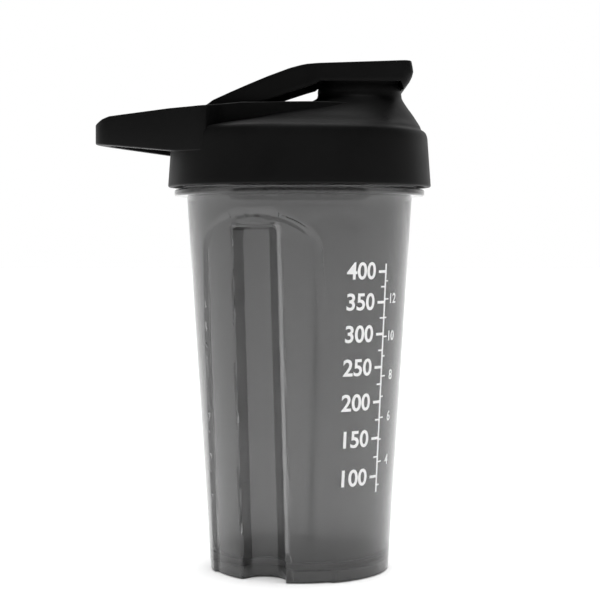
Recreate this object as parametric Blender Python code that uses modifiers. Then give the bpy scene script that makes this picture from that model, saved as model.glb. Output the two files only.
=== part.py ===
"""Protein shaker bottle: tapered cup, screw-on lid with a carry loop, flip cap and mixing strainer.

Run with: blender --background --python part.py, or from Blender's text editor.
Metres, +Z up. The bottle stands on Z = 0 with the middle of its box at X = 0 and Y = 0: the spout
points to +X and the carry loop to -X. Outlines are written about the cup's own axis, which stands
AXIS_X to the +X side of the origin because the carry loop reaches further than the lid's skirt.
"""
import math

import bmesh
import bpy
from mathutils import Matrix, Vector

# --- driving dimensions -------------------------------------------------------------------------
GAP = 0.0003               # left between pieces that touch
ROUND_STEPS = 64           # facets round a turned piece

# lid and loop, whose reach sets where the cup's axis stands
SKIRT_RADIUS = 0.0504      # lid skirt, outside, at its lower edge
LOOP_REACH = 0.0782        # carry loop's tip from the cup's axis
AXIS_X = (LOOP_REACH - SKIRT_RADIUS) / 2

# cup
WALL = 0.0018
FOOT_WALL = 0.0024
FLOOR_FILLET = 0.0020
BASE_RADIUS = 0.0342
BODY_RADIUS = 0.0431       # just under the flange
BODY_TOP = 0.1420
TAPER = (BODY_RADIUS - BASE_RADIUS) / BODY_TOP
FLANGE_RADIUS = 0.0479
FLANGE_TOP = 0.1448
NECK_RADIUS = 0.0450
NECK_BORE = 0.0427
RIM_Z = 0.1600
FLOOR_UNDER = 0.0045
FLOOR_TOP = 0.0067

# the two grip panels with their channels, on opposite sides of the cup
GRIP_ANGLE = math.radians(-114.4)
PANEL_RECESS = 0.0013
PANEL_HALF_WIDTH = 0.0234
PANEL_SPRING_Z = 0.1210    # where the straight sides turn into the arch
PANEL_TOP_Z = 0.1346
CHANNEL_RADIUS = 0.0090
CHANNEL_TOP_Z = 0.1300
CHANNEL_CORNER = 0.0020

# two-start screw thread
THREAD_STARTS = 2
THREAD_PITCH = 0.0045
THREAD_LEAD = THREAD_STARTS * THREAD_PITCH
THREAD_SWEEP = math.radians(270)
THREAD_DEPTH = 0.0015
THREAD_ROOT_HALF = 0.0012
THREAD_CREST_HALF = 0.0004
CUP_THREAD_Z = 0.1476
LID_THREAD_Z = CUP_THREAD_Z + THREAD_PITCH / 2

# lid
SKIRT_BOTTOM = 0.1458
SKIRT_TOP_RADIUS = 0.0491
SKIRT_TOP_Z = 0.1640
SHOULDER_RADIUS = 0.0470
SHOULDER_Z = 0.1673
SKIRT_BORE = 0.0472
SKIRT_BORE_MOUTH = 0.0478
CEILING_Z = 0.1623
DOME_WALL = 0.0021
DOME_DRAW_IN = 0.0016      # of the dome's inside, from its outside at the same level
DOME_ROOM_RADIUS = 0.0416  # of the dome's inside where it meets the ceiling
DOME_SECTIONS = [          # height, left reach and right reach about the cup's axis
    (0.1690, -0.0370, 0.0462),
    (0.1710, -0.0240, 0.0450),
    (0.1735, -0.0135, 0.0434),
    (0.1760, -0.0045, 0.0416),
    (0.1780, 0.0026, 0.0403),
    (0.1795, 0.0060, 0.0395)]
SPOUT_X = 0.0230
NECK_WAIST = 0.0160
NECK_WAIST_Z = 0.1815
SPOUT_RADIUS = 0.0152
SPOUT_BORE = 0.0126
SPOUT_BORE_FOOT = 0.1690   # where the bore opens into the dome
SPOUT_TOP = 0.1882
COLLAR_BORE = 0.0304
COLLAR_RADIUS = 0.0320
COLLAR_BOTTOM = 0.1520

# carry loop, in plan and from the side, about the cup's axis
LOOP_OUTER = [             # outer face of one leg as (x, y), from inside the dome to the tip
    (0.0180, 0.0215), (0.0110, 0.0242), (0.0040, 0.0243), (-0.0080, 0.0220), (-0.0160, 0.0222),
    (-0.0212, 0.0235), (-0.0279, 0.0265), (-0.0324, 0.0325), (-0.0350, 0.0345), (-0.0420, 0.0302),
    (-0.0520, 0.0240), (-0.0620, 0.0178), (-0.0700, 0.0128), (-0.0750, 0.0088), (-0.0776, 0.0045),
    (-LOOP_REACH, 0)]
LOOP_INNER = [             # inner face of the same leg
    (0.0180, 0.0165), (0.0110, 0.0192), (0.0040, 0.0193), (-0.0080, 0.0172), (-0.0165, 0.0173),
    (-0.0225, 0.0186), (-0.0290, 0.0222), (-0.0335, 0.0256), (-0.0365, 0.0268), (-0.0410, 0.0252),
    (-0.0500, 0.0194), (-0.0595, 0.0135), (-0.0670, 0.0088), (-0.0710, 0.0058), (-0.0727, 0.0030),
    (-0.0732, 0)]
LOOP_TOP = [               # its top edge as (x, z), from the spout's side to the tip
    (0.0300, 0.1762), (0.0180, 0.1762), (-0.0070, 0.1766), (-0.0212, 0.1768), (-0.0279, 0.1759),
    (-0.0344, 0.1747), (-0.0480, 0.1742), (-0.0720, 0.1724), (-0.0748, 0.1715), (-LOOP_REACH, 0.1696)]
LOOP_UNDER_BEND_X = -0.0456
LOOP_TIP_UNDER_Z = 0.1622
LOOP_SKIRT_UNDER_Z = 0.1583

# hinge of the flip cap
PIN_X = -0.0375
PIN_Z = 0.1723
PIN_RADIUS = 0.0015
PIN_HALF_LENGTH = 0.0190
BARREL_RADIUS = 0.0030
LUG_INNER = 0.0160
LUG_OUTER = 0.0195
LUG_RADIUS = 0.0031
LUG_FOOT_Z = 0.1660
LUG_FLARE = 0.0040         # how much further the lug reaches at its foot

# flip cap
ARM_HALF_WIDTH = 0.0152
CAP_HALF_WIDTH = 0.0172
CAP_FRONT_X = 0.0429
CAP_CORNER = 0.0045        # of the hood's front corners in plan
ARM_TOP = [                # top of the arm as (x, z), from the barrel to the hood
    (-0.0349, 0.1764), (-0.0325, 0.1782), (-0.0259, 0.1812), (-0.0190, 0.1842),
    (-0.0118, 0.1872), (-0.0036, 0.1902)]
HOOD_TOP = [(0.0005, 0.1913), (0.0028, 0.19175), (0.0421, 0.1930)]
HOOD_FRONT = [             # front of the hood, from its top edge down and in to the spout
    (0.0429, 0.1891), (0.0421, 0.1860), (0.0397, 0.1826), (0.0391, 0.1835)]
ARM_UNDER = [(0.0064, 0.1843), (-0.0032, 0.1812), (-0.0220, 0.1749), (-0.0345, 0.1706)]
CAP_EDGE_Z = 0.1851
CAP_PLATE = 0.0020
CAP_SIDE_WALL = 0.0014
CAP_ROOM_TOP = [           # roof of the hollow under the arm and hood
    (-0.0310, 0.1765), (-0.0190, 0.1819), (-0.0036, 0.1881), (0.0022, 0.1894), (0.0042, 0.18975),
    (0.0405, 0.1908), (0.0413, 0.1892), (0.0407, 0.1862), (0.0393, 0.1828)]
PLUG_SEAT_Z = 0.1895
PLUG_SEAT_DEPTH = 0.0016
PLUG_RADII = (0.0120, 0.0108, 0.0098)
PLUG_DEPTHS = (0.0034, 0.0040)
SEAT_RADIUS = 0.0140
STEM_RADIUS = 0.0030
STEM_LENGTH = 0.0014       # of the plug's stem into the cap's plate

# mixing strainer
STRAINER_RADIUS = COLLAR_BORE - GAP
STRAINER_FOOT = 0.0264
STRAINER_BOTTOM = 0.1395
STRAINER_TOP = 0.1595
STRAINER_SLOTS = 16
STRAINER_WALL = 0.0016
STRAINER_CAGE_TOP = 0.1510
STRAINER_HUB_TOP = 0.1480
STRAINER_HUB_RADII = (0.0092, 0.0066)
CAGE_SLOT_HALVES = (0.0032, 0.0036)
RAY_HALVES = (0.0018, 0.0034)
RAY_REACH = (0.0115, 0.0232)

# lid gasket
GASKET_INNER = 0.0424
GASKET_OUTER = SKIRT_BORE - 0.0005


# --- scene and helpers --------------------------------------------------------------------------
for old in list(bpy.data.objects):
    bpy.data.objects.remove(old, do_unlink=True)

bottle = bpy.data.collections.new("protein_shaker_bottle")
cutters = bpy.data.collections.new("cutters")
bpy.context.scene.collection.children.link(bottle)
bpy.context.scene.collection.children.link(cutters)


def plastic(name, color, roughness, alpha=1.0, metallic=0.0):
    """A Principled material of one colour."""
    made = bpy.data.materials.new(name)
    made.use_nodes = True
    shader = made.node_tree.nodes["Principled BSDF"]
    shader.inputs["Base Color"].default_value = (*color, 1.0)
    shader.inputs["Roughness"].default_value = roughness
    shader.inputs["Metallic"].default_value = metallic
    shader.inputs["Alpha"].default_value = alpha
    made.diffuse_color = (*color, alpha)
    return made


def add_object(name, mesh, collection):
    """Link a mesh as an object that stands on the cup's axis."""
    made = bpy.data.objects.new(name, mesh)
    made.location = (AXIS_X, 0, 0)
    collection.objects.link(made)
    if collection is cutters:
        made.hide_render = True
        made.display_type = "WIRE"
    return made


def turned(name, outline, collection=cutters, steps=ROUND_STEPS, closed=False):
    """Turn an (r, z) outline, given down its outer side, round Z."""
    mesh = bpy.data.meshes.new(name)
    count = len(outline)
    edges = [(i, i + 1) for i in range(count - 1)]
    if closed:
        edges.append((count - 1, 0))
    mesh.from_pydata([(r, 0, z) for r, z in outline], edges, [])
    made = add_object(name, mesh, collection)
    screw = made.modifiers.new("turn", "SCREW")
    screw.steps = steps
    screw.render_steps = steps
    screw.use_merge_vertices = True
    screw.merge_threshold = 0.00001
    return made


def plate(name, outline, half_depth, placing=Matrix()):
    """Extrude a flat outline both ways by half_depth, then place it."""
    curve = bpy.data.curves.new(name, "CURVE")
    curve.dimensions = "2D"
    curve.fill_mode = "BOTH"
    curve.extrude = half_depth
    spline = curve.splines.new("POLY")
    spline.points.add(len(outline) - 1)
    for point, (u, v) in zip(spline.points, outline):
        point.co = (u, v, 0, 1)
    spline.use_cyclic_u = True
    drawn = bpy.data.objects.new(name + "_curve", curve)
    cutters.objects.link(drawn)
    bpy.context.view_layer.update()
    evaluated = drawn.evaluated_get(bpy.context.evaluated_depsgraph_get())
    mesh = bpy.data.meshes.new_from_object(evaluated)
    bpy.data.objects.remove(drawn, do_unlink=True)
    mesh.name = name
    shape = bmesh.new()
    shape.from_mesh(mesh)
    bmesh.ops.remove_doubles(shape, verts=shape.verts, dist=0.000001)
    bmesh.ops.recalc_face_normals(shape, faces=shape.faces)
    shape.to_mesh(mesh)
    shape.free()
    mesh.transform(placing)
    return add_object(name, mesh, cutters)


def loft(name, rings, closed=False):
    """Skin a row of rings of points; the ends are capped unless the row closes on itself."""
    count = len(rings[0])
    verts = [point for ring in rings for point in ring]
    faces = []
    for k in range(len(rings) if closed else len(rings) - 1):
        low = k * count
        high = (k + 1) % len(rings) * count
        for i in range(count):
            j = (i + 1) % count
            faces.append((low + i, low + j, high + j, high + i))
    if not closed:
        faces.append(tuple(reversed(range(count))))
        faces.append(tuple(range(len(verts) - count, len(verts))))
    mesh = bpy.data.meshes.new(name)
    mesh.from_pydata(verts, [], faces)
    shape = bmesh.new()
    shape.from_mesh(mesh)
    bmesh.ops.recalc_face_normals(shape, faces=shape.faces)
    shape.to_mesh(mesh)
    shape.free()
    return add_object(name, mesh, cutters)


def join(target, tool, operation):
    """Add an EXACT Boolean of one object on another: DIFFERENCE, UNION or INTERSECT."""
    step = target.modifiers.new(f"{operation.lower()} {tool.name}", "BOOLEAN")
    step.operation = operation
    step.solver = "EXACT"
    step.object = tool


def finish(piece, name, material, parent=None):
    """Name a finished piece, shade it and hang it on its joint's empty."""
    piece.name = name
    piece.data.name = name
    piece.data.materials.append(material)
    piece.data.shade_smooth()
    piece.data.set_sharp_from_angle(angle=math.radians(30))
    if piece.name in cutters.objects:
        cutters.objects.unlink(piece)
        bottle.objects.link(piece)
        piece.hide_render = False
        piece.display_type = "TEXTURED"
    if parent is not None:
        piece.location = piece.location - parent_place(parent)
        piece.parent = parent
    return piece


def parent_place(empty):
    """Where an empty stands in the world, through its own parents."""
    place = Vector(empty.location)
    above = empty.parent
    while above is not None:
        place += above.location
        above = above.parent
    return place


def pivot(name, place, parent=None):
    """An empty on a joint's axis; place is given about the cup's axis."""
    made = bpy.data.objects.new(name, None)
    made.empty_display_size = 0.01
    world = Vector((AXIS_X, 0, 0)) + Vector(place)
    made.location = world - parent_place(parent) if parent is not None else world
    made.parent = parent
    bottle.objects.link(made)
    return made


def arc(center, radius, start, end, steps):
    """Points along an arc, in degrees, both ends included."""
    turns = [math.radians(start + (end - start) * i / steps) for i in range(steps + 1)]
    return [(center[0] + radius * math.cos(t), center[1] + radius * math.sin(t)) for t in turns]


def smooth_line(points, steps):
    """A Catmull-Rom line through the points, with steps points to each stretch."""
    line = []
    for i in range(len(points) - 1):
        before = points[max(i - 1, 0)]
        start, end = points[i], points[i + 1]
        after = points[min(i + 2, len(points) - 1)]
        for k in range(steps):
            t = k / steps
            line.append(tuple(
                0.5 * (2 * b + (c - a) * t + (2 * a - 5 * b + 4 * c - d) * t ** 2
                       + (3 * b - a - 3 * c + d) * t ** 3)
                for a, b, c, d in zip(before, start, end, after)))
    line.append(points[-1])
    return line


# an XZ outline drawn as (x, z) stands up with this, and is then extruded along Y
UPRIGHT = Matrix.Rotation(math.radians(90), 4, "X")


# --- cup ----------------------------------------------------------------------------------------
def body_radius(z):
    """Outside radius of the cup's tapered wall at a height."""
    return BASE_RADIUS + TAPER * z


def grip_outline(grow):
    """Arch of a grip panel as (across, z), made larger all round by grow."""
    half = PANEL_HALF_WIDTH + grow
    rise = PANEL_TOP_Z - PANEL_SPRING_Z + grow
    steps = 16
    arch = []
    for i in range(steps + 1):
        turn = math.pi * i / steps
        arch.append((half * math.cos(turn), PANEL_SPRING_Z + rise * math.sin(turn)))
    return [(half, -0.010)] + arch + [(-half, -0.010)]


def grip_cutter(grow, label):
    """Both recessed panels, as the space between an arched prism and an inset cone."""
    turn_to_grip = Matrix.Rotation(GRIP_ANGLE + math.radians(90), 4, "Z")
    prism = plate(f"panel_{label}", grip_outline(grow), 0.070, turn_to_grip @ UPRIGHT)
    inset = PANEL_RECESS + grow
    top, bottom = 0.150, -0.020
    core = turned(f"panel_core_{label}", [
        (0, top), (body_radius(top) - inset, top), (body_radius(bottom) - inset, bottom), (0, bottom)])
    join(prism, core, "DIFFERENCE")
    return prism


def channel_cutters(grow, label):
    """The two half-round channels, round bars that lie along the panels' sloping faces."""
    radius = CHANNEL_RADIUS + grow
    corner = CHANNEL_CORNER
    top = CHANNEL_TOP_Z + grow
    low = -0.015
    bars = []
    for side in range(2):
        bar = turned(f"channel_{label}_{side}", [
            (0, top), (radius - corner, top), (radius - 0.3 * corner, top - 0.3 * corner),
            (radius, top - corner), (radius, low), (0, low)], steps=32)
        lean = Matrix.Rotation(math.atan(TAPER), 4, "Y")
        place = Matrix.Translation((BASE_RADIUS - PANEL_RECESS, 0, 0))
        around = Matrix.Rotation(GRIP_ANGLE + side * math.pi, 4, "Z")
        bar.matrix_world = Matrix.Translation((AXIS_X, 0, 0)) @ around @ place @ lean
        bars.append(bar)
    return bars


def cup_hollow(label, outline, steps=ROUND_STEPS):
    """A turned hollow that keeps one wall's thickness clear of the panels and channels."""
    hollow = turned(f"hollow_{label}", outline, steps=steps)
    for bar in channel_cutters(WALL, f"inner_{label}"):
        join(hollow, bar, "DIFFERENCE")
    join(hollow, grip_cutter(WALL, f"inner_{label}"), "DIFFERENCE")
    return hollow


def thread_ridge(name, root_radius, depth, start_z, start_turn):
    """One start of thread: a tapered-off trapezoid carried up a helix; depth < 0 points inward."""
    steps = 27
    bite = 0.0005 if depth > 0 else -0.0005
    rings = []
    for i in range(steps + 1):
        t = i / steps
        turn = start_turn + THREAD_SWEEP * t
        z = start_z + THREAD_LEAD * THREAD_SWEEP * t / math.tau
        fade = min(1.0, 8 * t + 0.15, 8 * (1 - t) + 0.15)
        crest = root_radius + depth * fade
        root = root_radius - bite
        out = Vector((math.cos(turn), math.sin(turn), 0))
        rings.append([
            out * root + Vector((0, 0, z - THREAD_ROOT_HALF)),
            out * crest + Vector((0, 0, z - THREAD_CREST_HALF)),
            out * crest + Vector((0, 0, z + THREAD_CREST_HALF)),
            out * root + Vector((0, 0, z + THREAD_ROOT_HALF))])
    return loft(name, rings)


def make_cup(material):
    """The translucent cup: tapered wall, foot rim, flange, threaded neck and two grips."""
    cup = turned("cup_body", [
        (0, RIM_Z), (NECK_RADIUS - 0.0006, RIM_Z), (NECK_RADIUS, RIM_Z - 0.0006),
        (NECK_RADIUS, FLANGE_TOP), (FLANGE_RADIUS - 0.0004, FLANGE_TOP),
        (FLANGE_RADIUS, FLANGE_TOP - 0.0005), (FLANGE_RADIUS, BODY_TOP + 0.0004),
        (BODY_RADIUS, BODY_TOP), (BASE_RADIUS, 0), (0, 0)])
    join(cup, grip_cutter(0, "outer"), "DIFFERENCE")
    for bar in channel_cutters(0, "outer"):
        join(cup, bar, "DIFFERENCE")
    join(cup, cup_hollow("foot", [
        (0, FLOOR_UNDER), (body_radius(FLOOR_UNDER) - FOOT_WALL, FLOOR_UNDER),
        (body_radius(0) - FOOT_WALL, -0.003), (0, -0.003)], steps=54), "DIFFERENCE")
    above = RIM_Z + 0.005
    bend = BODY_TOP + 0.005
    join(cup, cup_hollow("inside", [
        (0, above), (NECK_BORE, above), (NECK_BORE, bend), (body_radius(BODY_TOP) - WALL, BODY_TOP),
        (body_radius(FLOOR_TOP + FLOOR_FILLET) - WALL, FLOOR_TOP + FLOOR_FILLET),
        (body_radius(FLOOR_TOP) - WALL - FLOOR_FILLET, FLOOR_TOP), (0, FLOOR_TOP)]), "DIFFERENCE")
    for start in range(THREAD_STARTS):
        ridge = thread_ridge(
            f"cup_thread_{start}", NECK_RADIUS, THREAD_DEPTH, CUP_THREAD_Z,
            math.tau * start / THREAD_STARTS)
        join(cup, ridge, "UNION")
    return finish(cup, "cup", material)


# --- lid ----------------------------------------------------------------------------------------
def dome_sections():
    """All level circles of the lid's sloping top, from the shoulder to the spout's waist."""
    return ([(SHOULDER_Z, -SHOULDER_RADIUS, SHOULDER_RADIUS)] + DOME_SECTIONS
            + [(NECK_WAIST_Z, SPOUT_X - NECK_WAIST, SPOUT_X + NECK_WAIST)])


def dome_rings(drop, inset):
    """Round sections of the dome, lowered by drop and drawn in by inset."""
    rings = []
    for z, left, right in dome_sections():
        middle = (left + right) / 2
        radius = (right - left) / 2 - inset
        rings.append([
            Vector((middle + radius * math.cos(math.tau * i / ROUND_STEPS),
                    radius * math.sin(math.tau * i / ROUND_STEPS), z - drop))
            for i in range(ROUND_STEPS)])
    return rings


def ring_at(middle, radius, z):
    """One level ring of points."""
    return [
        Vector((middle + radius * math.cos(math.tau * i / ROUND_STEPS),
                radius * math.sin(math.tau * i / ROUND_STEPS), z))
        for i in range(ROUND_STEPS)]


def loop_outline(near_points):
    """A whole plan outline of the carry loop from the points of its near side."""
    near_side = smooth_line(near_points, 3)
    return near_side + [(x, -y) for x, y in reversed(near_side[:-1])]


def make_loop():
    """The carry loop: a deep band round a finger hole, cut to its side outline."""
    middle_z = (LOOP_TIP_UNDER_Z + SHOULDER_Z) / 2
    place = Matrix.Translation((0, 0, middle_z))
    loop = plate("loop", loop_outline(LOOP_OUTER), 0.020, place)
    join(loop, plate("loop_hole", loop_outline(LOOP_INNER), 0.030, place), "DIFFERENCE")
    past_tip = -LOOP_REACH - 0.0005
    past_spout = LOOP_TOP[0][0]
    side = LOOP_TOP + [
        (past_tip, LOOP_TOP[-1][1]), (past_tip, LOOP_TIP_UNDER_Z),
        (LOOP_UNDER_BEND_X, LOOP_SKIRT_UNDER_Z), (past_spout, LOOP_SKIRT_UNDER_Z)]
    join(loop, plate("loop_side", side, 0.040, UPRIGHT), "INTERSECT")
    return loop


def make_lid(material, parent):
    """The screw-on lid with its spout, carry loop, hinge lugs, thread and strainer collar."""
    lid = turned("lid_body", [
        (0, SHOULDER_Z + 0.0003), (SHOULDER_RADIUS - 0.0014, SHOULDER_Z + 0.0003),
        (SHOULDER_RADIUS + 0.0002, SHOULDER_Z - 0.0003),
        (SKIRT_TOP_RADIUS - 0.0006, SKIRT_TOP_Z + 0.0016), (SKIRT_TOP_RADIUS, SKIRT_TOP_Z),
        (SKIRT_RADIUS, SKIRT_BOTTOM + 0.0005), (SKIRT_RADIUS - 0.0005, SKIRT_BOTTOM),
        (0, SKIRT_BOTTOM)])
    waist = ring_at(SPOUT_X, NECK_WAIST, NECK_WAIST_Z + 0.0015)
    spout_foot = ring_at(SPOUT_X, SPOUT_RADIUS, NECK_WAIST_Z + 0.0030)
    spout_edge = ring_at(SPOUT_X, SPOUT_RADIUS, SPOUT_TOP - 0.0006)
    spout_lip = ring_at(SPOUT_X, SPOUT_RADIUS - 0.0006, SPOUT_TOP)
    base = ring_at(0, SHOULDER_RADIUS - 0.0002, SHOULDER_Z - 0.004)
    dome = loft("dome", [base] + dome_rings(0, 0) + [waist, spout_foot, spout_edge, spout_lip])
    join(lid, dome, "UNION")
    join(lid, make_loop(), "UNION")
    for side in (-1, 1):
        middle = side * (LUG_INNER + LUG_OUTER) / 2
        lug_outline = [(PIN_X - LUG_RADIUS, LUG_FOOT_Z)] + arc((PIN_X, PIN_Z), LUG_RADIUS, 180, 0, 12)
        lug_outline.append((PIN_X + LUG_RADIUS + LUG_FLARE, LUG_FOOT_Z))
        lug_place = Matrix.Translation((0, middle, 0)) @ UPRIGHT
        join(lid, plate(f"lug_{side}", lug_outline, (LUG_OUTER - LUG_INNER) / 2, lug_place), "UNION")

    inside = turned("lid_hollow", [
        (0, CEILING_Z), (SKIRT_BORE, CEILING_Z), (SKIRT_BORE, SKIRT_BOTTOM + 0.006),
        (SKIRT_BORE_MOUTH, SKIRT_BOTTOM - 0.002), (0, SKIRT_BOTTOM - 0.002)])
    room_foot = [ring_at(0, DOME_ROOM_RADIUS, CEILING_Z + rise) for rise in (-0.002, 0.001)]
    room = loft("dome_hollow", room_foot + dome_rings(DOME_WALL, DOME_DRAW_IN)[1:-1])
    join(inside, room, "UNION")
    collar = turned("collar", [
        (COLLAR_RADIUS, 0.200), (COLLAR_RADIUS, COLLAR_BOTTOM), (COLLAR_BORE, COLLAR_BOTTOM),
        (COLLAR_BORE, 0.200)], closed=True)
    join(inside, collar, "DIFFERENCE")
    for start in range(THREAD_STARTS):
        ridge = thread_ridge(
            f"lid_thread_{start}", SKIRT_BORE, -(SKIRT_BORE - NECK_RADIUS - 0.0005), LID_THREAD_Z,
            math.tau * start / THREAD_STARTS)
        join(inside, ridge, "DIFFERENCE")
    join(lid, inside, "DIFFERENCE")
    bore = turned("spout_bore", [
        (0, 0.200), (SPOUT_BORE + 0.0006, 0.200), (SPOUT_BORE + 0.0006, SPOUT_TOP - 0.0002),
        (SPOUT_BORE, SPOUT_TOP - 0.0010), (SPOUT_BORE, SPOUT_BORE_FOOT), (0, SPOUT_BORE_FOOT)], steps=48)
    bore.location.x += SPOUT_X
    join(lid, bore, "DIFFERENCE")
    pin_hole = plate("pin_hole", arc((PIN_X, PIN_Z), PIN_RADIUS + GAP, 0, 345, 23), LUG_OUTER + 0.0005, UPRIGHT)
    join(lid, pin_hole, "DIFFERENCE")
    return finish(lid, "lid", material, parent)


# --- flip cap, its plug and pin -----------------------------------------------------------------
def cap_plan(inset):
    """Plan of the flip cap as (x, y): a narrow arm that widens over the spout."""
    arm = ARM_HALF_WIDTH - inset
    wide = CAP_HALF_WIDTH - inset
    front = CAP_FRONT_X - inset
    corner = CAP_CORNER - inset
    swell = [(0.0020 + 0.0060 * i / 6, arm + (wide - arm) * (3 * (i / 6) ** 2 - 2 * (i / 6) ** 3))
             for i in range(7)]
    corner_arc = arc((front - corner, wide - corner), corner, 90, 0, 6)
    half = [(-0.0450, arm)] + swell + corner_arc
    return half + [(x, -y) for x, y in reversed(half)]


def cap_side_outline():
    """Side view of the flip cap as (x, z), from the hinge barrel over the top to the lip."""
    barrel = arc((PIN_X, PIN_Z), BARREL_RADIUS, 270, 112, 12)
    edge_back, edge_front = ARM_UNDER[0][0] + 0.0004, HOOD_FRONT[-1][0]
    under = [(edge_front, CAP_EDGE_Z), (edge_back, CAP_EDGE_Z)]
    return barrel + ARM_TOP + HOOD_TOP + HOOD_FRONT + under + ARM_UNDER


def cap_room_outline():
    """Side view of the hollow under the flip cap's top plate, open below."""
    open_z = 0.1600
    return [(CAP_ROOM_TOP[0][0], open_z)] + CAP_ROOM_TOP + [(CAP_ROOM_TOP[-1][0], open_z)]


def make_flip_cap(material, parent):
    """The flip cap: an upturned trough from the hinge barrel to the hood over the spout."""
    cap = plate("cap_side", cap_side_outline(), 0.030, UPRIGHT)
    middle = Matrix.Translation((0, 0, 0.180))
    join(cap, plate("cap_plan", cap_plan(0), 0.030, middle), "INTERSECT")
    room = plate("cap_room", cap_room_outline(), 0.030, UPRIGHT)
    join(room, plate("cap_room_plan", cap_plan(CAP_SIDE_WALL), 0.040, middle), "INTERSECT")
    join(cap, room, "DIFFERENCE")
    seat_top = PLUG_SEAT_Z + PLUG_SEAT_DEPTH
    seat = turned("plug_seat", [
        (0, seat_top), (SEAT_RADIUS, seat_top), (SEAT_RADIUS, PLUG_SEAT_Z), (0, PLUG_SEAT_Z)],
        steps=44)
    stem_hole = turned("stem_hole", [
        (0, PLUG_SEAT_Z + STEM_LENGTH), (STEM_RADIUS + GAP, PLUG_SEAT_Z + STEM_LENGTH),
        (STEM_RADIUS + GAP, PLUG_SEAT_Z - 0.001), (0, PLUG_SEAT_Z - 0.001)], steps=32)
    for tool, operation in ((seat, "UNION"), (stem_hole, "DIFFERENCE")):
        tool.location.x += SPOUT_X
        join(cap, tool, operation)
    pin_hole = plate("cap_pin_hole", arc((PIN_X, PIN_Z), PIN_RADIUS + GAP, 0, 345, 23), 0.030, UPRIGHT)
    join(cap, pin_hole, "DIFFERENCE")
    return finish(cap, "flip_cap", material, parent)


def make_spout_plug(material, parent):
    """The soft plug that closes the spout, held by its stem in the flip cap's seat."""
    flange_top = PLUG_SEAT_Z - GAP
    flange_under = SPOUT_TOP + GAP
    plug = turned("plug", [
        (0, flange_top + STEM_LENGTH), (STEM_RADIUS, flange_top + STEM_LENGTH),
        (STEM_RADIUS, flange_top), (SEAT_RADIUS - GAP, flange_top),
        (SEAT_RADIUS - GAP, flange_under), (PLUG_RADII[0], flange_under),
        (PLUG_RADII[1], flange_under - PLUG_DEPTHS[0]), (PLUG_RADII[2], flange_under - PLUG_DEPTHS[1]),
        (0, flange_under - PLUG_DEPTHS[1])], steps=48)
    plug.location.x += SPOUT_X
    return finish(plug, "spout_plug", material, parent)


def make_hinge_pin(material, parent):
    """The steel pin through the lid's lugs and the flip cap's barrel."""
    mesh = bpy.data.meshes.new("hinge_pin")
    shape = bmesh.new()
    bmesh.ops.create_cone(
        shape, cap_ends=True, segments=24, radius1=PIN_RADIUS, radius2=PIN_RADIUS,
        depth=2 * PIN_HALF_LENGTH, matrix=Matrix.Translation((PIN_X, 0, PIN_Z)) @ UPRIGHT)
    shape.to_mesh(mesh)
    shape.free()
    pin = add_object("hinge_pin", mesh, bottle)
    chamfer = pin.modifiers.new("chamfer", "BEVEL")
    chamfer.width = 0.0003
    chamfer.segments = 1
    chamfer.limit_method = "ANGLE"
    chamfer.angle_limit = math.radians(60)
    return finish(pin, "hinge_pin", material, parent)


# --- pieces inside the lid ----------------------------------------------------------------------
def make_gasket(material, parent):
    """The silicone ring between the cup's rim and the lid's ceiling."""
    low, high = RIM_Z + GAP, CEILING_Z - GAP
    gasket = turned("gasket", [
        (GASKET_OUTER, high), (GASKET_OUTER, low), (GASKET_INNER, low), (GASKET_INNER, high)], closed=True)
    return finish(gasket, "lid_gasket", material, parent)


def make_strainer(material, parent):
    """The mixing strainer: a slotted basket with a cone in its floor, clipped into the collar."""
    floor_top = STRAINER_BOTTOM + STRAINER_WALL
    cage_inner = STRAINER_RADIUS - STRAINER_WALL - 0.0002
    hub_top, hub_foot = STRAINER_HUB_RADII
    strainer = turned("strainer", [
        (0, STRAINER_HUB_TOP), (hub_top, STRAINER_HUB_TOP), (hub_foot, floor_top),
        (STRAINER_FOOT - STRAINER_WALL, floor_top), (cage_inner, STRAINER_CAGE_TOP),
        (cage_inner, STRAINER_TOP), (STRAINER_RADIUS, STRAINER_TOP),
        (STRAINER_RADIUS, STRAINER_CAGE_TOP), (STRAINER_FOOT, floor_top),
        (STRAINER_FOOT - 0.0006, STRAINER_BOTTOM), (0, STRAINER_BOTTOM)], steps=48)
    slot_foot, slot_head = CAGE_SLOT_HALVES
    ray_near, ray_far = RAY_HALVES
    for i in range(STRAINER_SLOTS):
        turn = Matrix.Rotation(math.tau * i / STRAINER_SLOTS, 4, "Z")
        lower, upper = floor_top + 0.0008, STRAINER_CAGE_TOP - 0.0010
        slot = [(-slot_foot, lower), (slot_foot, lower), (slot_head, upper), (-slot_head, upper)]
        place = turn @ Matrix.Translation((0, -STRAINER_RADIUS + 0.0021, 0)) @ UPRIGHT
        join(strainer, plate(f"cage_slot_{i}", slot, 0.0055, place), "DIFFERENCE")
        if i % 2 == 0:
            ray = [(-ray_near, RAY_REACH[0]), (ray_near, RAY_REACH[0]),
                   (ray_far, RAY_REACH[1]), (-ray_far, RAY_REACH[1])]
            place = Matrix.Translation((0, 0, STRAINER_BOTTOM)) @ turn
            join(strainer, plate(f"floor_slot_{i}", ray, 0.0030, place), "DIFFERENCE")
    return finish(strainer, "mixing_strainer", material, parent)


# --- the bottle ---------------------------------------------------------------------------------
smoke_pp = plastic("smoke_polypropylene", (0.12, 0.12, 0.12), 0.35, alpha=0.6)
black_pp = plastic("black_polypropylene", (0.012, 0.012, 0.012), 0.38)
black_tpe = plastic("black_soft_plug", (0.015, 0.015, 0.015), 0.55)
grey_silicone = plastic("grey_silicone", (0.30, 0.30, 0.30), 0.50)
steel = plastic("stainless_steel", (0.60, 0.60, 0.60), 0.25, metallic=1.0)

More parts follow.
